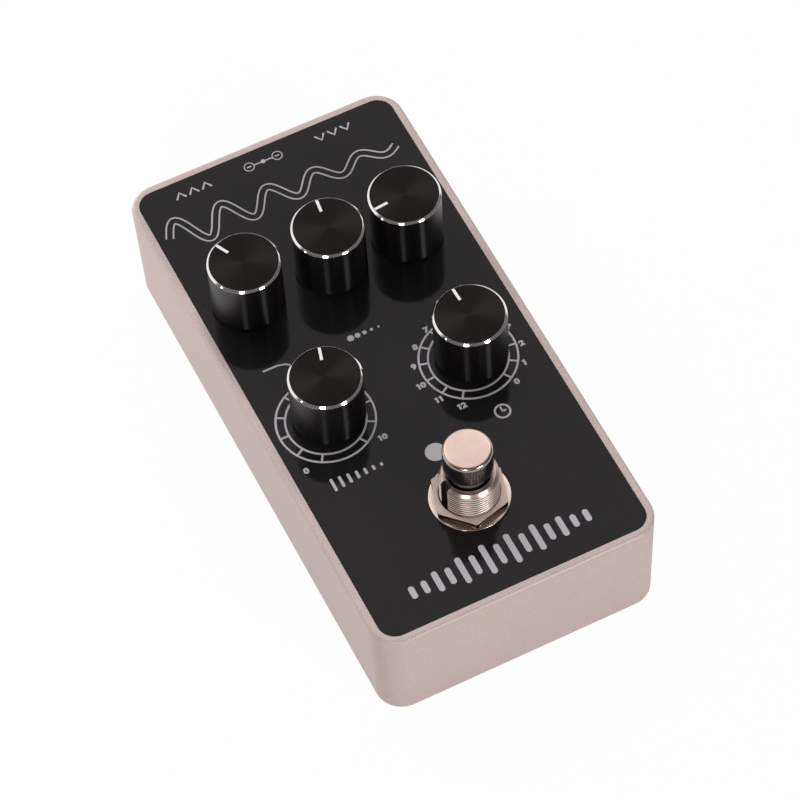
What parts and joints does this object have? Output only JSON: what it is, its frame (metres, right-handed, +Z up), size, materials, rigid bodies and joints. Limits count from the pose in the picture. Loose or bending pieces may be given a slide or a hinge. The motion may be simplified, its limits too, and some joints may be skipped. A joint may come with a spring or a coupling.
{
  "type": "analog delay pedal",
  "caption": "Compact metal delay pedal: recessed gloss face plate, black metal knobs with white pointers, sprung foot button, status light, plug sockets and a power inlet on the back.",
  "frame": {"origin": "centre of the rubber pad's underside, where the pedal rests", "axes": "+Z up out of the face plate, +Y along the casing towards the sockets, +X to the player's right"},
  "size_m": [0.0614, 0.1262, 0.0443],
  "materials": {
    "casing_paint": "fine metallic paint, satin",
    "base_metal": "painted, satin",
    "rubber": "matt rubber",
    "face_gloss": "polished black",
    "lens": "milky translucent plastic",
    "board": "green circuit board",
    "black_plastic": "moulded black plastic",
    "knob_metal": "black anodised, bright cut edge",
    "pointer_white": "white paint fill",
    "brass": "tinned brass",
    "nickel": "bright nickel",
    "spring_steel": "drawn wire",
    "steel": "zinc plated"
  },
  "bodies": {
    "pedal": {"casing": "casing_paint", "base_plate": "base_metal", "base_screws": "steel", "base_pad": "rubber", "face_plate": "face_gloss", "light_window": "lens", "status_led": "lens", "main_board": "board", "jack_board": "board", "switch_board": "board", "board_headers": "black_plastic", "delay_chips": "black_plastic", "capacitors": "black_plastic", "pot_nuts": "steel", "pot_washers": "steel", "pot_pins": "brass", "tone_pot": "steel", "age_pot": "steel", "level_pot": "steel", "repeats_pot": "steel", "time_pot": "steel", "switch_bush": "nickel", "switch_nut": "nickel", "switch_washer": "nickel", "switch_housing": "black_plastic", "switch_spring": "spring_steel", "switch_terminals": "brass", "input_jack": "black_plastic", "output_jack": "black_plastic", "jack_nuts": "steel", "jack_washers": "steel", "jack_pins": "brass", "power_jack": "black_plastic", "power_pin": "brass"},
    "tone_control": {"tone_knob": "knob_metal", "tone_insert": "black_plastic", "tone_pointer": "pointer_white", "tone_shaft": "steel"},
    "age_control": {"age_knob": "knob_metal", "age_insert": "black_plastic", "age_pointer": "pointer_white", "age_shaft": "steel"},
    "level_control": {"level_knob": "knob_metal", "level_insert": "black_plastic", "level_pointer": "pointer_white", "level_shaft": "steel"},
    "repeats_control": {"repeats_knob": "knob_metal", "repeats_insert": "black_plastic", "repeats_pointer": "pointer_white", "repeats_shaft": "steel"},
    "time_control": {"time_knob": "knob_metal", "time_insert": "black_plastic", "time_pointer": "pointer_white", "time_shaft": "steel"},
    "foot_push": {"foot_button": "nickel"}
  },
  "joints": [
    {"name": "tone_turn", "type": "hinge", "parent": "pedal", "child": "tone_control", "pos_m": [-0.0187, 0.0249, 0.041], "axis": [0, 0, 1], "range_deg": [-177, 123]},
    {"name": "age_turn", "type": "hinge", "parent": "pedal", "child": "age_control", "pos_m": [-0.0001, 0.0249, 0.041], "axis": [0, 0, 1], "range_deg": [-143, 157]},
    {"name": "level_turn", "type": "hinge", "parent": "pedal", "child": "level_control", "pos_m": [0.0171, 0.0249, 0.041], "axis": [0, 0, 1], "range_deg": [-245, 55]},
    {"name": "repeats_turn", "type": "hinge", "parent": "pedal", "child": "repeats_control", "pos_m": [-0.0162, -0.0075, 0.041], "axis": [0, 0, 1], "range_deg": [-134, 166]},
    {"name": "time_turn", "type": "hinge", "parent": "pedal", "child": "time_control", "pos_m": [0.0155, -0.0075, 0.041], "axis": [0, 0, 1], "range_deg": [-152, 148]},
    {"name": "foot_press", "type": "slide", "parent": "pedal", "child": "foot_push", "axis": [0, 0, -1], "range_m": [0, 0.0022], "stiffness_N_per_m": 1500, "springref_m": -0.002, "deforming": ["switch_spring"]}
  ]
}
